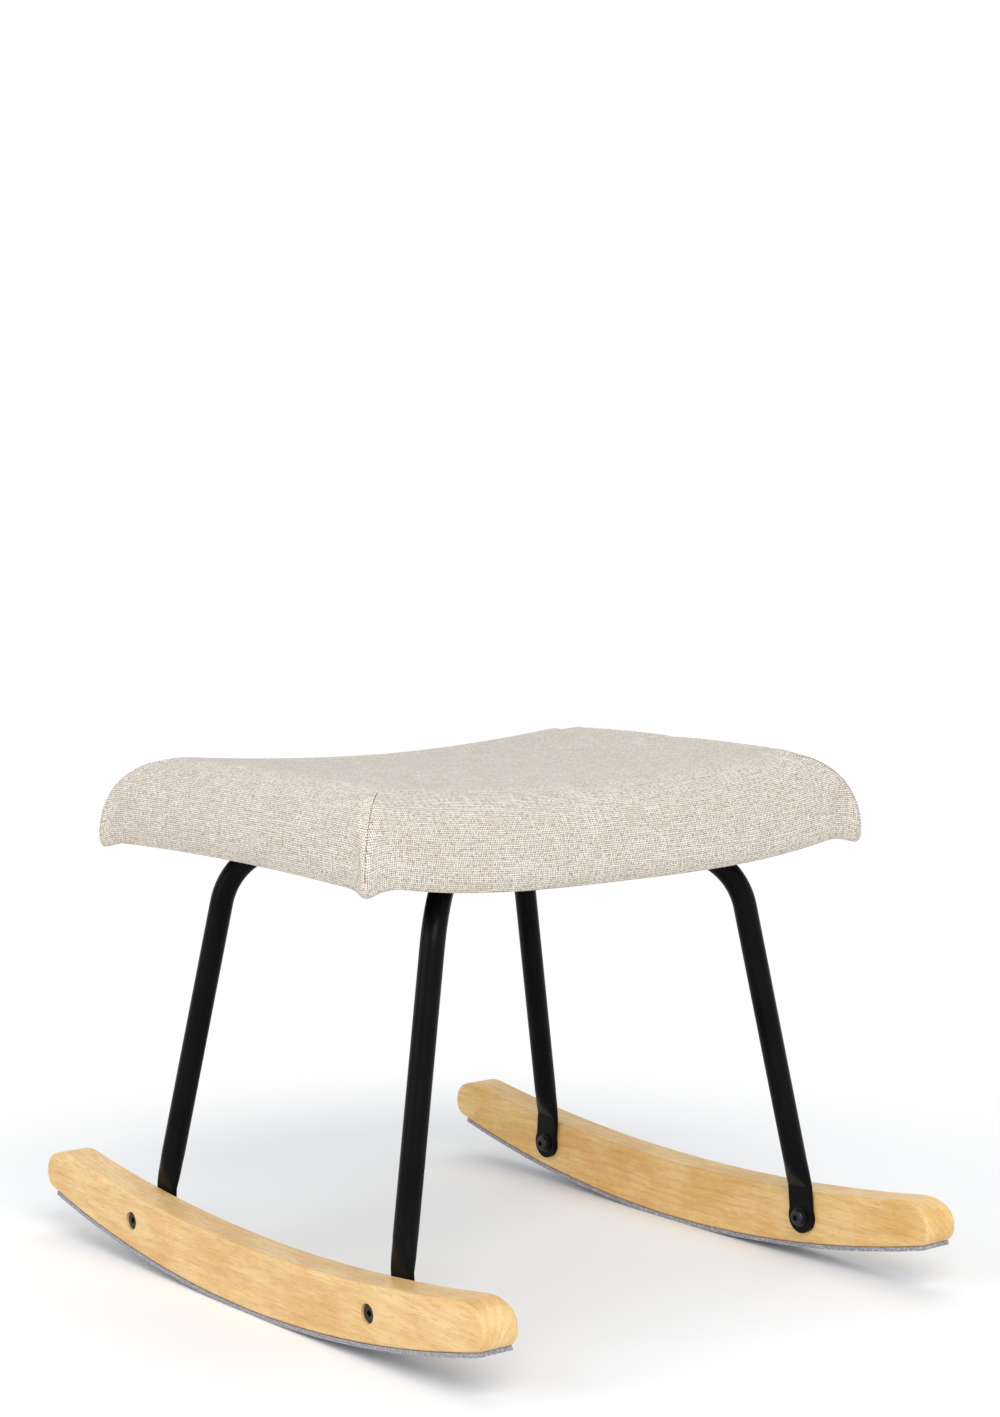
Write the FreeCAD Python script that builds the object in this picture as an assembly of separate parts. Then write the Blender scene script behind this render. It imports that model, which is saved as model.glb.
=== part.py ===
import FreeCAD, Part
import math
import os

# A rocking footstool: a saddle shaped upholstered seat on a frame of four bent steel
# tubes, bolted to two curved wooden rockers with felt strips under them.
# Millimetres. X runs from the left rocker to the right one, Y along the rockers with
# the front at -Y, and Z up. The origin is on the floor, under the middle of the seat.

Vector = FreeCAD.Vector
Z_AXIS = Vector(0, 0, 1)
X_AXIS = Vector(1, 0, 0)

# Rockers
rocker_gap = 426.0
rocker_thickness = 32.8
rocker_length = 641.0
rocker_height = 50.9
rocker_bottom_radius = 1282.0
rocker_top_radius = 1939.0
rocker_edge_round = 3.0

# Rounding of a rocker's ends: three arcs, each radius a share of the rocker's height at its end
nose_low_share = 0.36
nose_tip_share = 0.49
nose_long_share = 1.2
nose_join_angle = 68.0

# Felt strips under the rockers; the strip starts at the rear where the wood curves up
felt_thickness = 3.4
felt_side_margin = 0.8
felt_front_end = 313.0
felt_rear_end = 303.0

# Bolted joints between legs and rockers
bolt_y = 174.6
bolt_z = 39.4
bolt_diameter = 8.0
bolt_head_diameter = 14.0
bolt_head_height = 4.4
bolt_grip_in_wood = 22.0
washer_diameter = 16.5
washer_thickness = 1.4
nut_head_diameter = 15.0
nut_head_height = 3.0
nut_barrel_diameter = 10.0
nut_barrel_length = 17.0
counterbore_diameter = 16.0
counterbore_depth = 4.8
socket_across_flats = 5.0
socket_depth = 2.6
hole_clearance = 0.3
thread_clearance = 0.05

# Legs: round tube, pressed flat at the foot and bent in under the seat
tube_diameter = 20.0
tube_wall = 2.0
tab_width = 28.0
tab_thickness = 4.5
crease_z = 66.0
flattened_length = 27.0
leg_corner_x = 155.5
leg_corner_y = 147.3
frame_z = 360.0
leg_bend_radius = 62.0

# Welded centre of the frame, and its plates under the seat
hub_diameter = 46.0
plate_length = 136.0
plate_width = 92.0
plate_thickness = 3.0
plate_corner_radius = 10.0
plate_screw_x = 54.0
plate_screw_y = 37.0
bracket_reach = 122.0
bracket_length = 58.0
bracket_width = 24.0
bracket_screw_offset = 20.0
pad_margin = 2.0

# Screws from the frame into the seat board
screw_diameter = 6.0
screw_head_diameter = 11.0
screw_head_height = 3.3
screw_washer_diameter = 13.0
screw_washer_thickness = 1.2
screw_socket = 4.0
screw_socket_depth = 1.8
tee_flange_diameter = 18.0
tee_flange_thickness = 1.3
tee_barrel_diameter = 8.0
tee_seat_depth = 1.9
tee_barrel_length = 5.0

# Seat
seat_half_length = 259.0
seat_half_depth = 195.0
seat_top_middle = 425.5
seat_top_rise = 11.0
seat_top_crown = 3.0
rim_middle = 351.4
rim_rise = 14.0
rim_rise_length = 225.0
rim_end_arch = 5.0
rim_round = 14.0
rim_tuck = 4.0
end_roll = 43.0
side_roll = 42.0
corner_flare = 2.5
cover_thickness = 2.0
soft_clearance = 0.3
skirt_thickness = 38.0
recess_corner_radius = 12.0
board_thickness = 9.0
board_arc_radius = 2500.0
board_overlap = 7.0
board_corner_radius = 25.0
cover_turn_in = 16.0
cover_turn_in_thickness = 1.6
dust_cover_thickness = 0.8
dust_cover_margin = 5.0
staple_length = 10.0
staple_width = 1.2
staple_height = 0.6
staple_pitch = 45.0
staple_inset = 5.0

# Worked out from the sizes above
inner_face = rocker_gap / 2
outer_face = inner_face + rocker_thickness
rocker_bottom_z = felt_thickness
rocker_top_z = rocker_bottom_z + rocker_height
frame_top_z = frame_z + tube_diameter / 2
plate_top_z = frame_top_z + plate_thickness
dust_cover_low_z = plate_top_z
board_bottom_z = plate_top_z + dust_cover_thickness + cover_turn_in_thickness
recess_half_length = seat_half_length - skirt_thickness
recess_half_depth = seat_half_depth - skirt_thickness
rocker_end_y = rocker_length / 2


def export(name, shape):
    """Write one named sub-part."""
    shape.exportStep("parts/" + name + ".step")
    print(name, len(shape.Solids), "solid(s)", round(shape.Volume / 1000.0, 1), "cm3")


def group(shapes):
    """Separate solids kept together in one sub-part."""
    return Part.makeCompound(shapes)


def mirrored(shape, side, end):
    """Copy of a shape built at +X, +Y, moved to the given side (X) and end (Y)."""
    result = shape.copy()
    if side < 0:
        result = result.mirror(Vector(0, 0, 0), Vector(1, 0, 0))
    if end < 0:
        result = result.mirror(Vector(0, 0, 0), Vector(0, 1, 0))
    return result


def arc(start, middle, end):
    return Part.Arc(start, middle, end).toShape()


def line(start, end):
    return Part.LineSegment(start, end).toShape()


def hexagon_prism(centre, axis, across_flats, depth):
    """Hexagon socket: a six sided prism from centre along axis."""
    radius = across_flats / math.sqrt(3)
    first = axis.cross(Z_AXIS)
    if first.Length < 0.5:
        first = X_AXIS
    first = first.normalize()
    second = axis.cross(first)
    corners = []
    for step in range(7):
        angle = math.pi / 3 * step
        corners.append(centre + first * (radius * math.cos(angle)) + second * (radius * math.sin(angle)))
    return Part.Face(Part.makePolygon(corners)).extrude(axis * depth)


def rounded_plate(half_x, half_y, low_z, height, radius):
    """Plate with rounded corners, centred on the Z axis."""
    plate = Part.makeBox(2 * half_x, 2 * half_y, height, Vector(-half_x, -half_y, low_z))
    uprights = [edge for edge in plate.Edges if abs(edge.tangentAt(edge.FirstParameter).z) > 0.9]
    return plate.makeFillet(radius, uprights)


# Rockers

def rocker_end_height():
    """Height of a rocker at its end, before the end is rounded."""
    low_rise = rocker_bottom_radius - math.sqrt(rocker_bottom_radius ** 2 - rocker_end_y ** 2)
    high_rise = rocker_top_radius - math.sqrt(rocker_top_radius ** 2 - rocker_end_y ** 2)
    return rocker_height + high_rise - low_rise


def short_arc(centre, start, end):
    """Arc from start to end round centre, the short way."""
    middle_way = (start - centre).normalize() + (end - centre).normalize()
    radius = (end - centre).Length
    return arc(start, centre + middle_way.normalize() * radius, end)


def rear_nose():
    """Rounded rear end of the outline, from the bottom arc up and round to the top arc.

    A small arc below, an upright line, a tighter arc at the tip and a long one above it
    all meet smoothly.
    """
    low_centre = Vector(inner_face, 0, rocker_bottom_z + rocker_bottom_radius)
    high_centre = Vector(inner_face, 0, rocker_top_z + rocker_top_radius)
    low_radius = nose_low_share * rocker_end_height()
    tip_radius = nose_tip_share * rocker_end_height()
    long_radius = nose_long_share * rocker_end_height()
    join_way = Vector(0, math.cos(math.radians(nose_join_angle)), math.sin(math.radians(nose_join_angle)))

    low_y = rocker_end_y - low_radius
    low_reach = rocker_bottom_radius - low_radius
    low_nose = Vector(inner_face, low_y, low_centre.z - math.sqrt(low_reach ** 2 - low_y ** 2))
    low_touch = low_centre + (low_nose - low_centre) * (rocker_bottom_radius / low_reach)
    low_end = low_nose + Vector(0, low_radius, 0)

    long_y = rocker_end_y - tip_radius - (long_radius - tip_radius) * join_way.y
    long_reach = rocker_top_radius + long_radius
    long_nose = Vector(inner_face, long_y, high_centre.z - math.sqrt(long_reach ** 2 - long_y ** 2))
    high_touch = high_centre + (long_nose - high_centre) * (rocker_top_radius / long_reach)
    tip_nose = long_nose + join_way * (long_radius - tip_radius)
    tip_end = tip_nose + Vector(0, tip_radius, 0)
    join = tip_nose + join_way * tip_radius

    edges = [
        short_arc(low_nose, low_touch, low_end),
        line(low_end, tip_end),
        short_arc(tip_nose, tip_end, join),
        short_arc(long_nose, join, high_touch),
    ]
    return edges, low_touch, high_touch


def rocker_outline():
    """Side outline in the YZ plane at the inner face, as one closed wire."""
    rear, low_touch, high_touch = rear_nose()
    front = [mirrored(edge, 1, -1) for edge in rear]

    def flip(point):
        return Vector(point.x, -point.y, point.z)

    bottom = arc(flip(low_touch), Vector(inner_face, 0, rocker_bottom_z), low_touch)
    top = arc(high_touch, Vector(inner_face, 0, rocker_top_z), flip(high_touch))
    return Part.Wire(Part.sortEdges([bottom, top] + rear + front)[0])


def rocker():
    """Right rocker: solid wood with soft edges and two counterbored holes."""
    solid = Part.Face(rocker_outline()).extrude(Vector(rocker_thickness, 0, 0))
    rims = []
    for edge in solid.Edges:
        middle = edge.CenterOfMass
        if abs(middle.x - inner_face) < 0.01 or abs(middle.x - outer_face) < 0.01:
            rims.append(edge)
    solid = solid.makeFillet(rocker_edge_round, rims)
    hole_radius = nut_barrel_diameter / 2 + hole_clearance
    for end in (-1, 1):
        start = Vector(inner_face, end * bolt_y, bolt_z)
        solid = solid.cut(Part.makeCylinder(hole_radius, rocker_thickness, start, X_AXIS))
        mouth = Vector(outer_face - counterbore_depth, end * bolt_y, bolt_z)
        solid = solid.cut(Part.makeCylinder(counterbore_diameter / 2, counterbore_depth, mouth, X_AXIS))
    return solid


def felt_strip():
    """Right felt strip, bent to the rocker's bottom arc."""
    centre = Vector(inner_face + felt_side_margin, 0, rocker_bottom_z + rocker_bottom_radius)

    def on_arc(radius, y):
        scale = radius / rocker_bottom_radius
        drop = math.sqrt(rocker_bottom_radius ** 2 - y ** 2) * scale
        return Vector(centre.x, y * scale, centre.z - drop)

    low_radius = rocker_bottom_radius + felt_thickness
    edges = [
        arc(on_arc(rocker_bottom_radius, -felt_front_end), on_arc(rocker_bottom_radius, 0),
            on_arc(rocker_bottom_radius, felt_rear_end)),
        line(on_arc(rocker_bottom_radius, felt_rear_end), on_arc(low_radius, felt_rear_end)),
        arc(on_arc(low_radius, felt_rear_end), on_arc(low_radius, 0), on_arc(low_radius, -felt_front_end)),
        line(on_arc(low_radius, -felt_front_end), on_arc(rocker_bottom_radius, -felt_front_end)),
    ]
    width = rocker_thickness - 2 * felt_side_margin
    return Part.Face(Part.Wire(edges)).extrude(Vector(width, 0, 0))


# Legs

def crease_centre():
    """Middle of the flattened tube where it bends away from the rocker."""
    run_y = (bolt_y - leg_corner_y) * (crease_z - bolt_z) / (frame_z - bolt_z)
    return Vector(inner_face - tab_thickness / 2, bolt_y - run_y, crease_z)


def leg_corner():
    """Point where the axes of the leg and of its run under the seat cross."""
    return Vector(leg_corner_x, leg_corner_y, frame_z)


def flat_oval(centre, across, through, width, thickness, pressed):
    """Closed section between a circle (pressed 0) and a flattened tube (pressed 1)."""
    half_w = width / 2
    half_t = thickness / 2
    diagonal = math.sqrt(0.5)
    corner_w = (1 - pressed) * half_w * diagonal + pressed * (half_w - half_t)
    corner_t = (1 - pressed) * half_t * diagonal + pressed * half_t
    eighth = math.pi / 8
    round_w = (1 - pressed) * half_w * math.cos(eighth) + pressed * (half_w - half_t + half_t * diagonal)
    round_t = (1 - pressed) * half_t * math.sin(eighth) + pressed * half_t * diagonal

    def at(w, t):
        return centre + across * w + through * t

    def side(sign):
        start = at(-corner_w * sign, corner_t * sign)
        end = at(corner_w * sign, corner_t * sign)
        if pressed == 1:
            return line(start, end)
        return arc(start, at(0, half_t * sign), end)

    def ending(sign):
        tip = at(half_w * sign, 0)
        return [
            arc(at(corner_w * sign, corner_t * sign), at(round_w * sign, round_t * sign), tip),
            arc(tip, at(round_w * sign, -round_t * sign), at(corner_w * sign, -corner_t * sign)),
        ]

    return Part.Wire([side(1)] + ending(1) + [side(-1)] + ending(-1))


def leg_path(start_gap, end_gap):
    """Centre line of the tube: up the leg, round the bend and in towards the hub."""
    crease = crease_centre()
    corner = leg_corner()
    down = (crease - corner).normalize()
    inward = Vector(-corner.x, -corner.y, 0)
    reach = inward.Length
    inward = inward.normalize()
    turn = math.pi - down.getAngle(inward)
    tangent = leg_bend_radius * math.tan(turn / 2)
    bend_start = corner + down * tangent
    bend_end = corner + inward * tangent
    middle_way = (down + inward).normalize()
    bend_middle = corner + middle_way * (math.hypot(leg_bend_radius, tangent) - leg_bend_radius)
    start = crease - down * start_gap
    end = corner + inward * (reach - end_gap)
    return Part.Wire([line(start, bend_start), arc(bend_start, bend_middle, bend_end), line(bend_end, end)])


def swept_tube(path, diameter):
    """Round bar along a path that starts on a straight run."""
    first = path.Edges[0]
    start = first.valueAt(first.FirstParameter)
    direction = first.tangentAt(first.FirstParameter)
    ring = Part.Wire([Part.makeCircle(diameter / 2, start, direction)])
    return path.makePipeShell([ring], True, False)


def leg():
    """Right rear leg: bent tube with its flattened, rounded foot."""
    crease = crease_centre()
    bolt = Vector(crease.x, bolt_y, bolt_z)
    upward = (leg_corner() - crease).normalize()
    tab_up = (crease - bolt).normalize()
    tab_across = tab_up.cross(X_AXIS)
    leg_across = (tab_across - upward * tab_across.dot(upward)).normalize()
    leg_through = leg_across.cross(upward)
    if leg_through.x < 0:
        leg_through = -leg_through

    sections = []
    stages = 4
    for stage in range(stages + 1):
        pressed = 1 - stage / stages
        height = flattened_length * stage / stages
        width = tab_width + (tube_diameter - tab_width) * (1 - pressed)
        swell = math.sin((1 - pressed) * math.pi / 2)
        thickness = tab_thickness + (tube_diameter - tab_thickness) * swell
        if stage == 0:
            sections.append(flat_oval(crease, tab_across, X_AXIS, tab_width, tab_thickness, 1))
        else:
            centre = crease + upward * height
            sections.append(flat_oval(centre, leg_across, leg_through, width, thickness, pressed))
    transition = Part.makeLoft(sections, True, False)

    half_t = tab_thickness / 2
    low = flat_oval(bolt, tab_across, X_AXIS, tab_width, tab_thickness, 1)
    tab = Part.Face(low).extrude(crease - bolt)
    tab = tab.fuse(Part.makeCylinder(tab_width / 2, tab_thickness, bolt - X_AXIS * half_t, X_AXIS))

    tube = swept_tube(leg_path(flattened_length, 0), tube_diameter)
    bore = swept_tube(leg_path(flattened_length + tube_wall, 0), tube_diameter - 2 * tube_wall)
    hub = Part.makeCylinder(hub_diameter / 2, 2 * tube_diameter, Vector(0, 0, frame_z - tube_diameter))
    beyond = Part.makeBox(
        2 * tube_diameter, 2 * tube_diameter, 2 * tube_diameter,
        Vector(-2 * tube_diameter, -2 * tube_diameter, frame_z - tube_diameter))
    solid = tube.fuse([transition, tab]).removeSplitter()
    solid = solid.cut(bore).cut(hub).cut(beyond)
    hole = Part.makeCylinder(bolt_diameter / 2 + hole_clearance, 2 * tab_thickness,
                             bolt - X_AXIS * tab_thickness, X_AXIS)
    return largest_solid(solid.cut(hole))


def largest_solid(shape):
    """The main solid of a shape, without loose slivers left by a cut."""
    return max(shape.Solids, key=lambda solid: solid.Volume)


# Bolts between legs and rockers, built for the right rear joint

def rocker_bolt():
    """Button head bolt with a hexagon socket, entering the wood from the inside."""
    seat_x = inner_face - tab_thickness - washer_thickness
    head_start = Vector(seat_x - bolt_head_height, bolt_y, bolt_z)
    head = Part.makeCylinder(bolt_head_diameter / 2, bolt_head_height, head_start, X_AXIS)
    crown = [edge for edge in head.Edges if abs(edge.CenterOfMass.x - head_start.x) < 0.01]
    head = head.makeFillet(bolt_head_height * 0.6, crown)
    head = head.cut(hexagon_prism(head_start, X_AXIS, socket_across_flats, socket_depth))
    shank_length = washer_thickness + tab_thickness + bolt_grip_in_wood
    shank = Part.makeCylinder(bolt_diameter / 2, shank_length, Vector(seat_x, bolt_y, bolt_z), X_AXIS)
    return head.fuse(shank).removeSplitter()


def rocker_washer():
    """Plain washer under the bolt's head."""
    start = Vector(inner_face - tab_thickness - washer_thickness, bolt_y, bolt_z)
    ring = Part.makeCylinder(washer_diameter / 2, washer_thickness, start, X_AXIS)
    hole_radius = bolt_diameter / 2 + hole_clearance
    return ring.cut(Part.makeCylinder(hole_radius, washer_thickness, start, X_AXIS))


def sleeve_nut():
    """Barrel nut from the outside, its head at the bottom of the counterbore."""
    seat_x = outer_face - counterbore_depth
    head_end = Vector(seat_x + nut_head_height, bolt_y, bolt_z)
    head = Part.makeCylinder(nut_head_diameter / 2, nut_head_height, Vector(seat_x, bolt_y, bolt_z), X_AXIS)
    rim = [edge for edge in head.Edges if abs(edge.CenterOfMass.x - head_end.x) < 0.01]
    head = head.makeFillet(nut_head_height * 0.4, rim)
    barrel_start = Vector(seat_x - nut_barrel_length, bolt_y, bolt_z)
    nut = head.fuse(Part.makeCylinder(nut_barrel_diameter / 2, nut_barrel_length, barrel_start, X_AXIS))
    bore = Part.makeCylinder(bolt_diameter / 2 + thread_clearance, nut_barrel_length, barrel_start, X_AXIS)
    socket = hexagon_prism(head_end, -X_AXIS, socket_across_flats, nut_head_height)
    return nut.cut(bore).cut(socket).removeSplitter()


# Frame centre, plates, pads and screws

def run_direction():
    """Direction of the right rear run, from the hub out to the bend."""
    corner = leg_corner()
    return Vector(corner.x, corner.y, 0).normalize()


def plate_screw_places():
    return [Vector(plate_screw_x, 0, 0), Vector(-plate_screw_x, 0, 0),
            Vector(0, plate_screw_y, 0), Vector(0, -plate_screw_y, 0)]


def bracket_screw_places():
    outward = run_direction()
    across = Z_AXIS.cross(outward)
    places = []
    for offset in (-bracket_screw_offset, bracket_screw_offset):
        point = outward * bracket_reach + across * offset
        for side in (-1, 1):
            for end in (-1, 1):
                places.append(Vector(point.x * side, point.y * end, 0))
    return places


def screw_places():
    return plate_screw_places() + bracket_screw_places()


def upright_holes(places, radius, low_z, high_z):
    holes = []
    for place in places:
        holes.append(Part.makeCylinder(radius, high_z - low_z, Vector(place.x, place.y, low_z)))
    return holes


def hub():
    """Short round post that the four tubes are welded to."""
    post = Part.makeCylinder(hub_diameter / 2, tube_diameter, Vector(0, 0, frame_z - tube_diameter / 2))
    bottom = [edge for edge in post.Edges if abs(edge.CenterOfMass.z - frame_z + tube_diameter / 2) < 0.01]
    return post.makeFillet(tube_wall, bottom)


def mounting_plate():
    """Plate on top of the hub, screwed to the seat board."""
    plate = rounded_plate(plate_length / 2, plate_width / 2, frame_top_z, plate_thickness, plate_corner_radius)
    radius = screw_diameter / 2 + hole_clearance
    return plate.cut(upright_holes(plate_screw_places(), radius, frame_top_z, plate_top_z))


def turned_out(shape):
    """Turn a shape built along X to lie across the right rear run at the bracket's place."""
    outward = run_direction()
    angle = math.degrees(math.atan2(outward.y, outward.x))
    result = shape.copy()
    result.rotate(Vector(0, 0, 0), Z_AXIS, angle)
    result.translate(outward * bracket_reach)
    return result


def bracket():
    """Strap welded across the right rear tube, with a screw each side of it."""
    strap = rounded_plate(bracket_width / 2, bracket_length / 2, frame_top_z, plate_thickness,
                          plate_corner_radius / 2)
    strap = turned_out(strap)
    radius = screw_diameter / 2 + hole_clearance
    return strap.cut(upright_holes(bracket_screw_places(), radius, frame_top_z, plate_top_z))


def under_board(offset):
    """Space below the board's curved underside, lowered by offset."""
    reach = seat_half_length
    radius = board_arc_radius
    centre_z = board_bottom_z - offset + radius
    end_z = centre_z - math.sqrt(radius ** 2 - reach ** 2)
    y = -seat_half_depth
    left = Vector(-reach, y, end_z)
    right = Vector(reach, y, end_z)
    low = Vector(0, 0, -rocker_height - rim_middle / 2)
    edges = [
        arc(left, Vector(0, y, board_bottom_z - offset), right),
        line(right, right + low),
        line(right + low, left + low),
        line(left + low, left),
    ]
    return Part.Face(Part.Wire(edges)).extrude(Vector(0, 2 * seat_half_depth, 0))


def spacer_pad():
    """Rubber pad that fills the wedge between a bracket and the curved board."""
    half_x = bracket_width / 2 - pad_margin
    half_y = bracket_length / 2 - pad_margin
    block = rounded_plate(half_x, half_y, plate_top_z, board_thickness, plate_corner_radius / 3)
    pad = turned_out(block).common(under_board(cover_turn_in_thickness + dust_cover_thickness))
    radius = screw_diameter / 2 + hole_clearance
    holes = upright_holes(bracket_screw_places(), radius, plate_top_z, board_bottom_z + board_thickness)
    return largest_solid(pad.cut(holes))


def board_z(x, offset):
    """Height of the board's underside at x, raised by offset."""
    radius = board_arc_radius - offset
    return board_bottom_z + board_arc_radius - math.sqrt(radius ** 2 - x ** 2)


def frame_screws():
    """Button head screws up through the frame into the tee nuts."""
    screws = []
    for place in screw_places():
        seat_z = frame_top_z - screw_washer_thickness
        base = Vector(place.x, place.y, seat_z - screw_head_height)
        head = Part.makeCylinder(screw_head_diameter / 2, screw_head_height, base)
        crown = [edge for edge in head.Edges if abs(edge.CenterOfMass.z - base.z) < 0.01]
        head = head.makeFillet(screw_head_height * 0.6, crown)
        head = head.cut(hexagon_prism(base, Z_AXIS, screw_socket, screw_socket_depth))
        top_z = board_z(place.x, board_thickness) - tee_seat_depth
        shank = Part.makeCylinder(screw_diameter / 2, top_z - seat_z, Vector(place.x, place.y, seat_z))
        screws.append(head.fuse(shank).removeSplitter())
    return group(screws)


def screw_washers():
    washers = []
    for place in screw_places():
        base = Vector(place.x, place.y, frame_top_z - screw_washer_thickness)
        ring = Part.makeCylinder(screw_washer_diameter / 2, screw_washer_thickness, base)
        hole = Part.makeCylinder(screw_diameter / 2 + hole_clearance, screw_washer_thickness, base)
        washers.append(ring.cut(hole))
    return group(washers)


def tee_nuts():
    """Tee nuts let into the top of the board, one over each screw."""
    nuts = []
    for place in screw_places():
        flange_z = board_z(place.x, board_thickness) - tee_seat_depth
        flange = Part.makeCylinder(tee_flange_diameter / 2, tee_flange_thickness,
                                   Vector(place.x, place.y, flange_z))
        barrel_base = Vector(place.x, place.y, flange_z - tee_barrel_length)
        barrel = Part.makeCylinder(tee_barrel_diameter / 2, tee_barrel_length, barrel_base)
        bore = Part.makeCylinder(screw_diameter / 2 + thread_clearance,
                                 tee_barrel_length + tee_flange_thickness, barrel_base)
        nuts.append(flange.fuse(barrel).cut(bore).removeSplitter())
    return group(nuts)


# Seat

def rim_z(x):
    """Height of the seat's lower edge along its front and rear."""
    share = min(abs(x) / rim_rise_length, 1.0)
    return rim_middle + rim_rise * share ** 3


def crown_z(x):
    """Height of the seat's top along its middle, before the ends roll down."""
    share = x / (seat_half_length - end_roll)
    return seat_top_middle + seat_top_rise * share ** 2


def ellipse_rise(distance, width):
    """Share of the full height reached at a distance in from the edge of a rounded end."""
    if distance >= width:
        return 1.0
    return math.sqrt(1 - ((width - distance) / width) ** 2)


def ellipse_reach(rise, width):
    """Distance in from the edge at which the given share of the height is reached."""
    return width * (1 - math.sqrt(max(0.0, 1 - rise ** 2)))


def seat_section(x, inset):
    """Closed section of the seat at x; inset shrinks it evenly."""
    half_length = seat_half_length - inset
    distance = half_length - abs(x)
    lowest = rim_z(x) + inset
    rounding = rim_round - inset / 2
    widest = lowest + rounding
    highest = crown_z(x) - inset
    rise = ellipse_rise(distance, end_roll - inset / 2)
    top = widest + (highest - widest) * rise
    low_share = ellipse_rise(distance, rim_tuck)
    bottom = widest - rounding * low_share
    half_depth = seat_half_depth - inset + corner_flare * (x / seat_half_length) ** 4
    roll = side_roll - inset / 2
    diagonal = math.sqrt(0.5)
    arch = 0.4 + rim_end_arch * (x / seat_half_length) ** 6
    crown = 0.4 + seat_top_crown * rise
    foot = ellipse_reach(low_share, rim_tuck)
    foot_middle = ellipse_reach(low_share * diagonal, rim_tuck)
    foot_middle_z = widest - (widest - bottom) * diagonal
    inner = ellipse_reach(rise, roll)
    middle_rise = rise * diagonal
    middle = ellipse_reach(middle_rise, roll)
    middle_z = widest + (highest - widest) * middle_rise

    def at(y, z):
        return Vector(x, y, z)

    edges = [
        arc(at(-half_depth + foot, bottom), at(0, bottom + arch), at(half_depth - foot, bottom)),
        arc(at(half_depth - foot, bottom), at(half_depth - foot_middle, foot_middle_z),
            at(half_depth, widest)),
        arc(at(half_depth, widest), at(half_depth - middle, middle_z), at(half_depth - inner, top)),
        arc(at(half_depth - inner, top), at(0, top + crown), at(-half_depth + inner, top)),
        arc(at(-half_depth + inner, top), at(-half_depth + middle, middle_z), at(-half_depth, widest)),
        arc(at(-half_depth, widest), at(-half_depth + foot_middle, foot_middle_z),
            at(-half_depth + foot, bottom)),
    ]
    return Part.Wire(edges)


def seat_form(inset):
    """The seat's whole outer form, shrunk evenly by inset."""
    half_length = seat_half_length - inset
    stations = []
    for distance in (0.4, 3.0, 9.0, 22.0, end_roll):
        stations.append(half_length - distance)
    stations += [125.0, 60.0]
    places = sorted([-station for station in stations] + [0.0] + stations)
    return Part.makeLoft([seat_section(x, inset) for x in places], True, False)


def recess_block(growth):
    """Upright block as wide as the hollow under the seat, grown sideways."""
    half_x = recess_half_length + growth
    half_y = recess_half_depth + growth
    low = rim_middle - 2 * rim_round
    return rounded_plate(half_x, half_y, low, board_bottom_z - low + 3 * board_thickness,
                         recess_corner_radius + growth)


def seat_board_block(growth, offset_low, offset_high):
    """Part of the curved layer between two offsets from the board's underside."""
    half_x = recess_half_length + board_overlap + growth
    half_y = recess_half_depth + board_overlap + growth
    block = rounded_plate(half_x, half_y, board_bottom_z - board_thickness, 5 * board_thickness,
                          board_corner_radius)
    layer = under_board(-offset_high).cut(under_board(-offset_low))
    return block.common(layer)


def seat_board():
    """Moulded plywood seat board with the tee nut seats."""
    board = seat_board_block(0, 0, board_thickness)
    for place in screw_places():
        flange_z = board_z(place.x, board_thickness) - tee_seat_depth
        seat = Part.makeCylinder(tee_flange_diameter / 2 + hole_clearance, board_thickness,
                                 Vector(place.x, place.y, flange_z))
        hole = Part.makeCylinder(tee_barrel_diameter / 2 + hole_clearance, 3 * board_thickness,
                                 Vector(place.x, place.y, board_bottom_z - board_thickness))
        board = board.cut(seat).cut(hole)
    return largest_solid(board)


def seat_foam(core):
    """Foam over the board and down its edges, hollow underneath."""
    foam = core.cut(seat_board_block(soft_clearance, -soft_clearance, board_thickness + soft_clearance))
    opening = recess_block(cover_thickness + soft_clearance)
    foam = foam.cut(opening.common(under_board(0)))
    return largest_solid(foam)


def seat_cover(outer, inner):
    """Fabric over the foam, taken round the rim, up the hollow and turned in under the board."""
    lining_space = recess_block(cover_thickness).common(under_board(0))
    hollow = recess_block(0).common(under_board(cover_turn_in_thickness))
    window = rounded_plate(recess_half_length - cover_turn_in, recess_half_depth - cover_turn_in,
                           rim_middle, 4 * board_thickness, recess_corner_radius)
    padding = inner.cut(lining_space)
    covered_above_board = inner.cut(under_board(0))
    fabric = outer.cut(padding).cut(covered_above_board).cut(hollow).cut(window)
    return largest_solid(fabric)


def dust_cover():
    """Thin black cloth stretched under the board, over the turned-in cover."""
    half_x = recess_half_length - dust_cover_margin
    half_y = recess_half_depth - dust_cover_margin
    block = rounded_plate(half_x, half_y, rim_middle, 4 * board_thickness, recess_corner_radius)
    upper = under_board(cover_turn_in_thickness)
    lower = under_board(cover_turn_in_thickness + dust_cover_thickness)
    sheet = block.common(upper.cut(lower))
    radius = screw_diameter / 2 + hole_clearance
    holes = upright_holes(screw_places(), radius, rim_middle, board_bottom_z + board_thickness)
    return largest_solid(sheet.cut(holes))


def staple(x, y, along_x):
    """Crown of one staple against the dust cover."""
    low_offset = cover_turn_in_thickness + dust_cover_thickness
    size_x, size_y = (staple_length, staple_width) if along_x else (staple_width, staple_length)
    top_z = board_z(abs(x) - size_x / 2, 0) - low_offset
    return Part.makeBox(size_x, size_y, staple_height,
                        Vector(x - size_x / 2, y - size_y / 2, top_z - staple_height))


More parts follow.
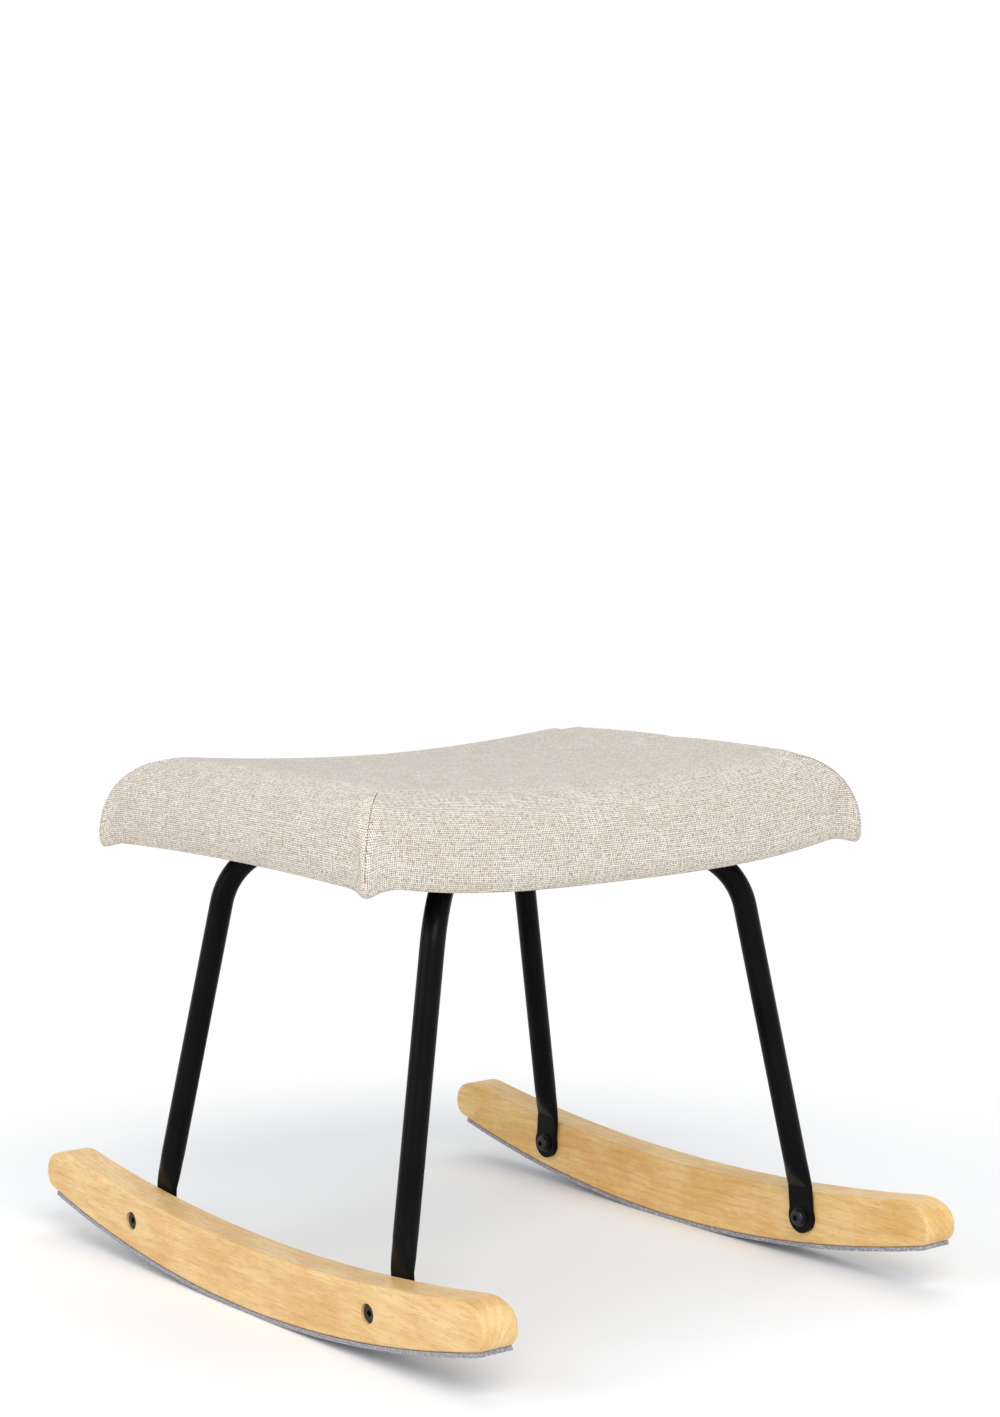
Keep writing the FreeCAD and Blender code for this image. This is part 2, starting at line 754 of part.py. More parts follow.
def dust_cover_staples():
    """Row of staples round the edge of the dust cover."""
    half_x = recess_half_length - dust_cover_margin - staple_inset
    half_y = recess_half_depth - dust_cover_margin - staple_inset
    staples = []
    count_x = int(2 * (half_x - staple_pitch / 2) / staple_pitch)
    for step in range(count_x + 1):
        x = (step - count_x / 2) * staple_pitch
        staples.append(staple(x, half_y, True))
        staples.append(staple(x, -half_y, True))
    count_y = int(2 * (half_y - staple_pitch / 2) / staple_pitch)
    for step in range(count_y + 1):
        y = (step - count_y / 2) * staple_pitch
        staples.append(staple(half_x, y, False))
        staples.append(staple(-half_x, y, False))
    return group(staples)


def build():
    os.makedirs("parts", exist_ok=True)

    right_rocker = rocker()
    right_felt = felt_strip()
    for name, side in (("left", -1), ("right", 1)):
        export("rocker_" + name, mirrored(right_rocker, side, 1))
        export("felt_strip_" + name, mirrored(right_felt, side, 1))

    right_rear_leg = leg()
    corners = (("front_left", -1, -1), ("rear_left", -1, 1), ("front_right", 1, -1), ("rear_right", 1, 1))
    for name, side, end in corners:
        export("leg_" + name, mirrored(right_rear_leg, side, end))

    for name, shape in (("rocker_bolts", rocker_bolt()), ("rocker_washers", rocker_washer()),
                        ("sleeve_nuts", sleeve_nut())):
        export(name, group([mirrored(shape, side, end) for corner, side, end in corners]))

    export("frame_hub", hub())
    export("mounting_plate", mounting_plate())
    strap = bracket()
    pad = spacer_pad()
    for name, side, end in corners:
        export("seat_bracket_" + name, mirrored(strap, side, end))
        export("spacer_pad_" + name, mirrored(pad, side, end))
    export("frame_screws", frame_screws())
    export("screw_washers", screw_washers())
    export("tee_nuts", tee_nuts())

    outer = seat_form(0)
    inner = seat_form(cover_thickness)
    core = seat_form(cover_thickness + soft_clearance)
    export("seat_board", seat_board())
    export("seat_foam", seat_foam(core))
    export("seat_cover", seat_cover(outer, inner))
    export("dust_cover", dust_cover())
    export("dust_cover_staples", dust_cover_staples())


build()
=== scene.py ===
# %% [markdown]
# # A rocking footstool
# The footstool has a saddle shaped upholstered seat, four bent steel tube legs and two curved wooden
# rockers with felt under them. Its hard parts come ready made and at their real size from the packed
# frame. This script gives them their finishes, and makes the soft parts: the padded seat, its seam
# stitches and the thin cloth under it. All lengths are metres. X runs from the left rocker to the right
# one, Y along the rockers with the front at -Y, and Z is up.

# %% Load the frame
import math

import bpy
import numpy as np
from mathutils import Matrix, Vector


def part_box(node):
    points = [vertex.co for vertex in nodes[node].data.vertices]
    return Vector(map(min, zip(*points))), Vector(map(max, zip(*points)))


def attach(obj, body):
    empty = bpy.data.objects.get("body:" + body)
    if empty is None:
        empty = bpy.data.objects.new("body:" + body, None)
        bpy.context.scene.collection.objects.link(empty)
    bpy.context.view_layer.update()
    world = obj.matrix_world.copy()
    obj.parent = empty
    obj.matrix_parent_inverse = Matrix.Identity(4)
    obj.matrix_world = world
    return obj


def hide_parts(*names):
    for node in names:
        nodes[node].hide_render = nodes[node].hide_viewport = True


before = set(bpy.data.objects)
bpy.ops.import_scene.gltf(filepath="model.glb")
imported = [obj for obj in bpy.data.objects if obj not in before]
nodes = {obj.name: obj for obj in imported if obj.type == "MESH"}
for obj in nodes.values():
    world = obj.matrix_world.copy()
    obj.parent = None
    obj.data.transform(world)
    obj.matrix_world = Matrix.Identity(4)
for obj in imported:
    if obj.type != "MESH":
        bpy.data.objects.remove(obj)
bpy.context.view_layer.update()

MM = 0.001
print("nodes:", len(nodes))

# %% [markdown]
# ## The camera
# The camera's place and lens were worked out from the picture: the arcs of the two rockers, the four
# leg lines and the seat's edges all have to fall where the picture has them. A long lens from about
# two and a half metres away, a little above the seat, does that. It could be aimed with a Track To
# constraint, but three plain angles say the same and stay put when other views move the camera.

# %% Camera
EYE = Vector((-1.502, -1.957, 0.690))
HEADING = math.radians(-37.89)
TILT = math.radians(-4.93)
ROLL = math.radians(-0.25)
LENS_MM = 74.2
SENSOR_MM = 36.0


def camera_axes(heading, tilt, roll):
    """Right, up and forward directions of a camera that looks along +Y before it is turned."""
    flat = math.cos(tilt)
    forward = Vector((-math.sin(heading) * flat, math.cos(heading) * flat, math.sin(tilt)))
    level = Vector((math.cos(heading), math.sin(heading), 0.0))
    above = level.cross(forward)
    right = level * math.cos(roll) + above * math.sin(roll)
    return right, right.cross(forward), forward


right, up, forward = camera_axes(HEADING, TILT, ROLL)
camera_data = bpy.data.cameras.new("camera")
camera_data.lens = LENS_MM
camera_data.sensor_width = SENSOR_MM
camera_data.clip_start = 0.05
camera_data.clip_end = 100.0
camera = bpy.data.objects.new("camera", camera_data)
turned = Matrix((right, up, -forward)).transposed().to_4x4()
camera.matrix_world = Matrix.Translation(EYE) @ turned
bpy.context.scene.collection.objects.link(camera)
bpy.context.scene.camera = camera
print("camera at", tuple(round(c, 3) for c in EYE), "lens", LENS_MM)

# %% [markdown]
# ## Writing shaders as sums
# A procedural finish is mostly arithmetic on masks. Placing each Math node by hand hides that, so one
# small class wraps a socket and lets Python's own operators add the nodes. Every other node comes from
# one method that takes its type, its settings and what goes into its sockets.

# %% Shader helper


def srgb(red, green, blue):
    """A colour as seen on a screen, 0 to 255, turned into the linear numbers a shader wants."""
    linear = []
    for value in (red, green, blue):
        share = value / 255
        linear.append(share / 12.92 if share <= 0.04045 else ((share + 0.055) / 1.055) ** 2.4)
    return (*linear, 1.0)


class Wire:
    """One socket in a node tree, usable in sums."""

    def __init__(self, tree, socket):
        self.tree = tree
        self.socket = socket

    def node(self, kind, settings=None, inputs=None, output=0):
        """Adds a node of a kind, sets it up, feeds its sockets and returns one of its outputs."""
        made = self.tree.nodes.new("ShaderNode" + kind)
        for name, value in (settings or {}).items():
            setattr(made, name, value)
        for key, value in (inputs or {}).items():
            if isinstance(value, Wire):
                self.tree.links.new(value.socket, made.inputs[key])
            else:
                made.inputs[key].default_value = value
        return Wire(self.tree, made.outputs[output])

    def sum_node(self, operation, *values):
        """One Math node that works on numbers or other wires."""
        return self.node("Math", {"operation": operation}, dict(enumerate(values)))

    def __add__(self, other):
        return self.sum_node("ADD", self, other)

    __radd__ = __add__

    def __sub__(self, other):
        return self.sum_node("SUBTRACT", self, other)

    def __rsub__(self, other):
        return self.sum_node("SUBTRACT", other, self)

    def __mul__(self, other):
        return self.sum_node("MULTIPLY", self, other)

    __rmul__ = __mul__

    def __pow__(self, other):
        return self.sum_node("POWER", self, other)

    def absolute(self):
        return self.sum_node("ABSOLUTE", self)

    def cosine(self):
        return self.sum_node("COSINE", self)

    def larger(self, other):
        return self.sum_node("MAXIMUM", self, other)

    def smooth(self, low, high, to_low=0.0, to_high=1.0):
        """Eases from to_low to to_high as the value goes from low to high."""
        return self.node("MapRange", {"interpolation_type": "SMOOTHSTEP"},
                         {0: self, 1: low, 2: high, 3: to_low, 4: to_high})

    def stretch(self, x, y, z):
        """Scales a place along each axis: a share below 1 draws a pattern out along that axis."""
        return self.node("VectorMath", {"operation": "MULTIPLY"}, {0: self, 1: (x, y, z)})

    def shift(self, other):
        """Moves a place, to pick another stretch of an endless pattern."""
        return self.node("VectorMath", {"operation": "ADD"}, {0: self, 1: other})

    def part(self, index):
        """X, Y or Z of a place, for 0, 1 or 2."""
        return self.node("SeparateXYZ", None, {0: self}, output=index)

    def noise(self, scale, detail=2.0, roughness=0.5, distortion=0.0):
        return self.node("TexNoise", None, {"Vector": self, "Scale": scale, "Detail": detail,
                                            "Roughness": roughness, "Distortion": distortion})

    def mixed(self, low, high):
        """Blends two colours, this value being the share of the second."""
        return self.node("Mix", {"data_type": "RGBA"}, {0: self, 6: low, 7: high}, output=2)


class Finish:
    """One material: a Principled surface whose sockets are set or fed by name."""

    def __init__(self, name):
        self.material = bpy.data.materials.new(name)
        self.material.use_nodes = True
        self.tree = self.material.node_tree
        self.tree.nodes.clear()
        self.start = Wire(self.tree, None)

    def place(self):
        """Where a point is, in metres in the object's own frame."""
        return self.start.node("TexCoord", output="Object")

    def cloth_place(self):
        """Where a point is on the flat cloth, in metres."""
        return self.start.node("UVMap", {"uv_map": "cloth"})

    def bump(self, height, distance, strength=1.0):
        """Normal of a relief; distance is how far a height of 1 stands out, in metres."""
        return self.start.node("Bump", None, {"Height": height, "Distance": distance, "Strength": strength})

    def surface(self, sockets):
        """Makes the Principled surface with its sockets set or fed, and returns the material."""
        shader = self.start.node("BsdfPrincipled", None, sockets)
        out = self.tree.nodes.new("ShaderNodeOutputMaterial")
        self.tree.links.new(shader.socket, out.inputs["Surface"])
        print("finish:", self.material.name, len(self.tree.nodes), "nodes")
        return self.material


def finish_piece(piece, material):
    """Gives a piece one material."""
    piece.data.materials.clear()
    piece.data.materials.append(material)


# %% [markdown]
# ## Light hardwood
# The rockers are sawn from a pale, honey coloured hardwood with the grain along them, under a clear
# satin lacquer. A picture texture would stretch round the ends, so the wood is a solid pattern: faint
# growth rings round a far away heart, fibres drawn out along Y, short dark pores and soft blotches.
# Where the surface turns across the grain, at the noses, the same pattern shows end grain by itself.

# %% Wood finish
RING_PITCH = 6.0 * MM
RING_WANDER = 34.0 * MM
HEART_DISTANCE = 160.0 * MM
WOOD_RELIEF = 0.03 * MM
WOOD_LIGHT = srgb(236, 204, 147)
WOOD_MIDDLE = srgb(224, 182, 120)
WOOD_DARK = srgb(190, 138, 82)
PORE_BROWN = srgb(146, 96, 54)


def wood(name, heart_x, heart_z, offset, warmth):
    """Wood whose heart lies at the given place across the board.

    Offset picks another stretch of the pattern along the grain. Warmth makes the colour stronger and a
    little darker.
    """
    finish = Finish(name)
    place = finish.place().shift((0.0, offset, 0.0))
    waves = place.stretch(1.0, 0.22, 1.0).noise(15.0, detail=3.0, roughness=0.55)
    across = place.part(0) - heart_x
    height = place.part(2) - heart_z
    radius = (across * across + height * height) ** 0.5
    rings = ((radius + waves * RING_WANDER) * (2 * math.pi / RING_PITCH)).cosine()
    late_wood = rings.smooth(-0.2, 1.0)
    fibres = place.stretch(1.0, 0.05, 1.0).noise(640.0, detail=4.0, roughness=0.65)
    pores = place.stretch(1.0, 0.07, 1.0).noise(1300.0, detail=1.0).smooth(0.60, 0.70)
    clouds = place.stretch(1.0, 0.45, 1.0).noise(34.0, detail=4.0, roughness=0.6)
    base = clouds.smooth(0.36, 0.66).mixed(WOOD_LIGHT, WOOD_MIDDLE)
    ringed = (late_wood * 0.16).mixed(base, WOOD_DARK)
    streaked = (fibres.smooth(0.46, 0.74) * 0.42).mixed(ringed, WOOD_DARK)
    pored = (pores * 0.30).mixed(streaked, PORE_BROWN)
    warmed = pored.node("HueSaturation", None, {
        "Saturation": 1.0 + warmth, "Value": 1.0 - warmth * 0.25, "Color": pored})
    relief = fibres * 0.6 + pores * -0.8
    return finish.surface({
        "Base Color": warmed,
        "Roughness": fibres.smooth(0.3, 0.8, 0.42, 0.52),
        "Normal": finish.bump(relief, WOOD_RELIEF, 0.6),
        "Coat Weight": 0.12,
        "Coat Roughness": 0.3,
        "Specular IOR Level": 0.4,
    })


inner_rocker_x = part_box("rocker_right")[0].x
left_wood = wood("rocker wood left", HEART_DISTANCE - inner_rocker_x, -0.05, offset=0.0, warmth=0.02)
right_wood = wood("rocker wood right", HEART_DISTANCE + inner_rocker_x, 0.16, offset=1.3, warmth=0.08)
finish_piece(nodes["rocker_left"], left_wood)
finish_piece(nodes["rocker_right"], right_wood)

# %% [markdown]
# ## Black metal
# The tubes are powder coated: a thick satin black paint with a faint orange peel. The bolts are
# blackened steel, a little rougher. Both get their tone from roughness that wanders slightly, because
# an even black tube looks like plastic.

# %% Metal finishes
COAT_DEEP = srgb(6, 7, 8)
COAT_PALE = srgb(12, 13, 14)
COAT_PEEL = 0.02 * MM
SCRATCH_DEPTH = 0.01 * MM


def powder_coat():
    finish = Finish("black powder coat")
    place = finish.place()
    peel = place.noise(1300.0, detail=1.0)
    wear = place.noise(18.0, detail=4.0)
    tone = wear.smooth(0.35, 0.7).mixed(COAT_DEEP, COAT_PALE)
    return finish.surface({
        "Base Color": tone,
        "Roughness": wear.smooth(0.3, 0.7, 0.26, 0.33),
        "Normal": finish.bump(peel, COAT_PEEL, 0.5),
        "Specular IOR Level": 0.07,
    })


def plated(name, dark, light, metallic, rough_low, rough_high):
    """Steel with a thin plated or blackened skin, brushed by handling."""
    finish = Finish(name)
    place = finish.place()
    cloud = place.noise(240.0, detail=4.0)
    scratches = place.stretch(1.0, 9.0, 1.0).noise(420.0, detail=2.0)
    return finish.surface({
        "Base Color": cloud.smooth(0.3, 0.7).mixed(dark, light),
        "Metallic": metallic,
        "Roughness": scratches.smooth(0.3, 0.7, rough_low, rough_high),
        "Normal": finish.bump(scratches, SCRATCH_DEPTH, 0.5),
    })


coat_black = powder_coat()
oxide_black = plated("black oxide steel", srgb(22, 22, 23), srgb(36, 36, 37),
                     metallic=0.4, rough_low=0.34, rough_high=0.5)
zinc = plated("zinc plated steel", srgb(150, 150, 148), srgb(190, 190, 186),
              metallic=1.0, rough_low=0.3, rough_high=0.45)

for name in nodes:
    if name.startswith(("leg_", "seat_bracket_", "frame_hub", "mounting_plate")):
        finish_piece(nodes[name], coat_black)
for name in ("rocker_bolts", "rocker_washers", "sleeve_nuts", "frame_screws"):
    finish_piece(nodes[name], oxide_black)
for name in ("screw_washers", "tee_nuts", "dust_cover_staples"):
    finish_piece(nodes[name], zinc)

# %% [markdown]
# ## Small unseen parts
# Rubber pads and the plywood board sit under the seat, and are only seen when the stool is turned
# over. They still get their real finish: moulded rubber with a dusty bloom, and plies of two tones
# along the board's edge.

# %% Rubber and plywood finishes
PLY_THICKNESS = 1.5 * MM
SMALL_PART_RELIEF = 0.05 * MM
RUBBER_BLACK = srgb(30, 30, 31)
RUBBER_BLOOM = srgb(46, 46, 47)
PLY_DARK = srgb(205, 172, 128)
PLY_LIGHT = srgb(226, 196, 154)
PLY_CROSS = srgb(150, 112, 74)


def rubber():
    finish = Finish("black rubber")
    grain = finish.place().noise(700.0, detail=3.0)
    return finish.surface({
        "Base Color": grain.smooth(0.3, 0.7).mixed(RUBBER_BLACK, RUBBER_BLOOM),
        "Roughness": grain.smooth(0.3, 0.7, 0.7, 0.85),
        "Normal": finish.bump(grain, SMALL_PART_RELIEF, 0.5),
    })


def plywood():
    finish = Finish("plywood")
    place = finish.place()
    layers = (place.part(2) * (math.pi / PLY_THICKNESS)).cosine().smooth(-0.3, 0.3)
    grain = place.stretch(1.0, 0.05, 1.0).noise(500.0, detail=3.0)
    sheet = grain.smooth(0.3, 0.7).mixed(PLY_DARK, PLY_LIGHT)
    return finish.surface({
        "Base Color": (layers * 0.35).mixed(sheet, PLY_CROSS),
        "Roughness": grain.smooth(0.3, 0.7, 0.6, 0.75),
        "Normal": finish.bump(grain, SMALL_PART_RELIEF, 0.5),
    })


pad_rubber = rubber()
for name in nodes:
    if name.startswith("spacer_pad_"):
        finish_piece(nodes[name], pad_rubber)
finish_piece(nodes["seat_board"], plywood())

# %% [markdown]
# ## The seat's weave
# The cover is a coarse plain weave of cream yarn with brown and grey flecks. Each crossing of a warp
# and a weft yarn is a small bump, and between four crossings there is a pit, darkened with painted
# shade. Two cosines across the flat cloth give the yarns, and their product says which yarn is on
# top. The pattern lives on the flat cloth, not in space, so its threads follow the fabric over the
# rolled edges as real ones do.

# %% Seat fabric finish
YARN_PITCH = 1.7 * MM
WARP_WANDER = 0.9 * MM
WEFT_WANDER = 0.7 * MM
# A yarn's mean height, and how far it rises and dips as it passes over and under
YARN_LIE = 0.55
YARN_WAVE = 0.45
WEAVE_DEPTH = 0.55 * MM
FUZZ_SHARE = 0.12
YARN_LIGHT = srgb(246, 240, 231)
YARN_MIDDLE = srgb(224, 214, 201)
YARN_TAN = srgb(178, 156, 132)
YARN_GREY = srgb(140, 134, 130)
# Painted shade: the colour given to the pits between the yarns, where shade falls among them
PAINTED_PIT_SHADE = srgb(98, 82, 68)


def seat_fabric():
    finish = Finish("seat fabric")
    flat = finish.cloth_place()
    wander = flat.noise(40.0, detail=1.0) - 0.5
    u = flat.part(0) + wander * WARP_WANDER
    v = flat.part(1) + wander * WEFT_WANDER
    across_warp = (u * (math.pi / YARN_PITCH)).cosine()
    across_weft = (v * (math.pi / YARN_PITCH)).cosine()
    over = across_warp * across_weft
    warp = across_warp.absolute() * (YARN_LIE + over * YARN_WAVE)
    weft = across_weft.absolute() * (YARN_LIE - over * YARN_WAVE)
    weave = warp.larger(weft)

    warp_tone = flat.stretch(1.0, 0.07, 1.0).noise(620.0, detail=1.0)
    weft_tone = flat.stretch(0.07, 1.0, 1.0).noise(620.0, detail=1.0)
    tone = warp_tone * 0.5 + weft_tone * 0.5
    flecks = flat.stretch(1.0, 0.7, 1.0).noise(600.0, detail=1.0)
    grey = flat.shift((3.0, 1.0, 0.0)).stretch(0.6, 1.0, 1.0).noise(520.0, detail=1.0)
    clouds = flat.noise(14.0, detail=3.0)

    yarn = tone.smooth(0.42, 0.60).mixed(YARN_LIGHT, YARN_MIDDLE)
    yarn = (clouds.smooth(0.3, 0.7) * 0.25).mixed(yarn, YARN_MIDDLE)
    yarn = (flecks.smooth(0.52, 0.68) * 0.60).mixed(yarn, YARN_TAN)
    yarn = (grey.smooth(0.56, 0.70) * 0.50).mixed(yarn, YARN_GREY)
    # Painted shade: the lower the weave, the more of the dark pit colour, standing in for shade in the gaps
    # between yarns
    pit_shade = weave.smooth(0.14, 0.58, 1.0, 0.0)
    cloth = (pit_shade * 0.95).mixed(yarn, PAINTED_PIT_SHADE)

    fuzz = flat.noise(2600.0, detail=2.0)
    relief = finish.bump(weave + fuzz * FUZZ_SHARE, WEAVE_DEPTH, 0.85)
    return finish.surface({
        "Base Color": cloth,
        "Roughness": weave.smooth(0.1, 0.9, 0.95, 0.82),
        "Normal": relief,
        "Specular IOR Level": 0.15,
        "Sheen Weight": 0.06,
        "Sheen Roughness": 0.5,
    })


fabric = seat_fabric()

# %% [markdown]
# ## The padded seat
# The seat is foam over a curved board, under one piece of fabric whose corners are closed by a seam.
# It could be carved from a box, but rings are closer to how it is made: each ring is one level of the
# rolled edge, from the flat top out over the roll, down to the rim, under it and up into the hollow.
# The corner of every ring lies on the seam, so the seam is a real line in the mesh. The small tips that
# hang down where the seams end are called ears here.

# %% Seat sizes
# The ears at the corners: how far they hang down, stand out, and reach along the edges
EAR_DROP = 6.5 * MM
EAR_FLARE = 2.5 * MM
EAR_REACH = 13.0 * MM

# The plan, from the cover in the frame
seat_low, seat_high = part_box("seat_cover")
SEAT_HALF_X = (seat_high.x - seat_low.x) / 2
SEAT_HALF_Y = (seat_high.y - seat_low.y) / 2 - EAR_FLARE
CORNER_ROUND_LOW = 5.0 * MM
CORNER_ROUND_HIGH = 30.0 * MM

# The saddle on top
TOP_MIDDLE = 424.5 * MM
TOP_RISE = 11.0 * MM
TOP_CROWN = 3.0 * MM

# The rolled edge: how wide it is; a fullness below 1 makes it rounder than a quarter ellipse
END_ROLL = 45.0 * MM
SIDE_ROLL = 44.0 * MM
ROLL_FULLNESS = 0.84

# The rim: its sag along the front, its arch at the ends and the round of its lower edge
RIM_MIDDLE = seat_low.z
RIM_RISE = 14.0 * MM
RIM_RISE_LENGTH = 225.0 * MM
RIM_END_ARCH = 5.0 * MM
RIM_ROUND = 14.0 * MM
RIM_TUCK = 4.0 * MM

# The underside: width of the rim's flat, the round into the hollow, and the turned-in edge
SKIRT = 38.0 * MM
HOLLOW_ROUND = 6.0 * MM
TURN_IN = 16.0 * MM
TURN_IN_THICKNESS = 1.6 * MM

# The board: the radius that it is bent to, and its lowest level
BOARD_ARC = 2.5
BOARD_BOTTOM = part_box("seat_board")[0].z

# How fine the mesh is
CELLS_X = 84
CELLS_Y = 62
ROLL_RINGS = 14
RIM_RINGS = 5
HOLLOW_RINGS = 4
print("seat half sizes:", round(SEAT_HALF_X, 4), round(SEAT_HALF_Y, 4))

# %% [markdown]
# ### Three curved heights
# A saddle seat has a top that rises to both ends, a rim that sags in the middle of the front and rear
# and arches at the ends, and a curved board under it. All three could be drawn by hand, but one short
# formula each keeps them smooth, and tells the height at any place of the plan.

# %% Heights over the seat's plan
RIM_CURVE = 3
END_ARCH_CURVE = 6


def rim_height(x):
    """Lower edge of the seat along its front and rear: it sags in the middle."""
    share = min(abs(x) / RIM_RISE_LENGTH, 1.0)
    return RIM_MIDDLE + RIM_RISE * share ** RIM_CURVE


def top_height(x, y):
    """The saddle: low in the middle, high at both ends, with a slight crown across."""
    share = x / (SEAT_HALF_X - END_ROLL)
    crown = TOP_CROWN * (1 - (y / SEAT_HALF_Y) ** 2)
    return TOP_MIDDLE + TOP_RISE * share ** 2 + crown


def edge_height(x, y):
    """Height of the rim under a point near the edge, with its arch at the ends."""
    inside = max(0.0, 1 - (y / SEAT_HALF_Y) ** 2)
    end_share = (abs(x) / SEAT_HALF_X) ** END_ARCH_CURVE
    return rim_height(x) + RIM_END_ARCH * inside * end_share


def ear_share(x, y):
    """How much of an ear there is: 1 at a corner's tip, fading along both edges."""
    gap = math.hypot(SEAT_HALF_X - abs(x), SEAT_HALF_Y - abs(y))
    return math.exp(-(gap / EAR_REACH) ** 2)


def board_height(x):
    """Underside of the curved seat board."""
    return BOARD_BOTTOM + BOARD_ARC - math.sqrt(BOARD_ARC ** 2 - x ** 2)


print("top from", round(top_height(0, 0), 4), "to", round(top_height(SEAT_HALF_X - END_ROLL, 0), 4))

# %% [markdown]
# ### Rings
# A ring is a rounded rectangle seen from above, lifted to the heights of its level. Its points crowd
# near the corners, because the fabric turns sharply there and lies almost flat between them. Every
# ring has the same number of points, so that neighbouring rings can be joined point to point.

# %% Rings
# How strongly points crowd at the corners, and the share of an even spacing that stays
CORNER_CROWDING = 1.55
EVEN_SHARE = 0.25

# How fast an ear fades up the roll, and how much rounder the corners get under the seat
EAR_FADE = 1.3
CORNER_GROWTH = 0.35

# The last ring lies a little further in and inside the board, which hides the closing face
CLOSING_STEP = 1.0 * MM
CLOSING_SINK = 0.2 * MM


def graded_steps(count):
    """Shares from 0 to 1 along a side, close together near both corner seams."""
    even = np.linspace(-1.0, 1.0, count + 1)
    bent = np.sign(even) * (1 - (1 - np.abs(even)) ** CORNER_CROWDING)
    mixed = EVEN_SHARE * even + (1 - EVEN_SHARE) * bent
    return (mixed + 1) / 2


def side_points(half_along, half_out, corner, count):
    """Points along one side of a rounded rectangle, from corner seam to corner seam.

    Each point is (along, out): how far it is along the side and out from the middle.
    """
    quarter = corner * math.pi / 4
    straight = 2 * (half_along - corner)
    length = straight + 2 * quarter
    points = []
    for share in graded_steps(count):
        run = share * length
        if run < quarter:
            angle = math.pi / 4 - run / corner
            along = -half_along + corner - corner * math.sin(angle)
            out = half_out - corner + corner * math.cos(angle)
        elif run > length - quarter:
            angle = math.pi / 4 - (length - run) / corner
            along = half_along - corner + corner * math.sin(angle)
            out = half_out - corner + corner * math.cos(angle)
        else:
            along = -half_along + corner + run - quarter
            out = half_out
        points.append((along, out))
    return points


def ring_points(half_x, half_y, corner):
    """One ring as a list of (x, y), starting at the front left seam and going round."""
    front = side_points(half_x, half_y, corner, CELLS_X)
    end = side_points(half_y, half_x, corner, CELLS_Y)
    ring = [(along, -out) for along, out in front[:-1]]
    ring += [(out, along) for along, out in end[:-1]]
    ring += [(-along, out) for along, out in front[:-1]]
    ring += [(-out, -along) for along, out in end[:-1]]
    return ring


def roll_rings():
    """Rings of the rolled edge, from the top's edge down to the widest line."""
    rings = []
    for step in range(ROLL_RINGS, -1, -1):
        angle = math.pi / 2 * step / ROLL_RINGS
        rise = math.sin(angle) ** ROLL_FULLNESS
        inset = 1 - max(0.0, math.cos(angle)) ** ROLL_FULLNESS
        corner = CORNER_ROUND_LOW + (CORNER_ROUND_HIGH - CORNER_ROUND_LOW) * rise ** 2
        ring = []
        for x, y in ring_points(SEAT_HALF_X - END_ROLL * inset, SEAT_HALF_Y - SIDE_ROLL * inset, corner):
            ear = ear_share(x, y) * max(0.0, math.cos(angle * EAR_FADE)) ** 2
            widest = edge_height(x, y) + RIM_ROUND - EAR_DROP * ear
            flare = 1 + EAR_FLARE * ear / SEAT_HALF_X
            ring.append((x * flare, y * flare, widest + (top_height(x, y) - widest) * rise))
        rings.append(ring)
    return rings


def under_rings():
    """Rings round the rim's lower edge, under it, up into the hollow and in under the board."""
    levels = []
    for step in range(1, RIM_RINGS + 1):
        angle = math.pi / 2 * step / RIM_RINGS
        levels.append((RIM_TUCK * (1 - math.cos(angle)), RIM_ROUND * (1 - math.sin(angle)), 1.0))
    for share in (0.33, 0.66, 1.0):
        levels.append((RIM_TUCK + (SKIRT - HOLLOW_ROUND - RIM_TUCK) * share, 0.0, 1 - share))
    for step in range(1, HOLLOW_RINGS + 1):
        angle = math.pi / 2 * step / HOLLOW_RINGS
        inset = SKIRT - HOLLOW_ROUND * (1 - math.sin(angle))
        levels.append((inset, HOLLOW_ROUND * (1 - math.cos(angle)), 0.0))
    rings = []
    for inset, lift, ear_weight in levels:
        ring = []
        corner = CORNER_ROUND_LOW + inset * CORNER_GROWTH
        for x, y in ring_points(SEAT_HALF_X - inset, SEAT_HALF_Y - inset, corner):
            ear = ear_share(x, y) * ear_weight
            flare = 1 + EAR_FLARE * ear / SEAT_HALF_X
            ring.append((x * flare, y * flare, edge_height(x, y) + lift - EAR_DROP * ear))
        rings.append(ring)
    turned_in = SKIRT + TURN_IN
    corner = CORNER_ROUND_LOW + SKIRT * CORNER_GROWTH
    for inset, drop in ((SKIRT, TURN_IN_THICKNESS), (turned_in, TURN_IN_THICKNESS),
                        (turned_in + CLOSING_STEP, -CLOSING_SINK)):
        plan = ring_points(SEAT_HALF_X - inset, SEAT_HALF_Y - inset, corner)
        rings.append([(x, y, board_height(x) - drop) for x, y in plan])
    return rings


SEAMS = (0, CELLS_X, CELLS_X + CELLS_Y, 2 * CELLS_X + CELLS_Y)
RING_POINTS = 2 * (CELLS_X + CELLS_Y)
print("points in a ring:", RING_POINTS, "seams at", SEAMS)

# %% [markdown]
# ### From rings to a mesh
# Two neighbouring rings are joined by a band of four sided faces. The top and the closing face in the
# hollow are filled by a grid that takes its edge points from the last ring, which keeps every face
# four sided, so that the cloth simulation and the subdivision have an even net to work on. The flat
# cloth's place of each corner of each face is kept as a UV map named cloth.

# %% Seat mesh
# From this ring inwards, half way round the rim's lower edge, the fabric is held still
HELD_FROM = ROLL_RINGS + 3


def edge_index(row, column):
    """Which point of a ring a grid's edge point is, or None for a point inside."""
    if row == 0:
        return column
    if row == CELLS_Y:
        return SEAMS[3] - column
    if column == CELLS_X:
        return SEAMS[1] + row
    if column == 0:
        return RING_POINTS - row
    return None


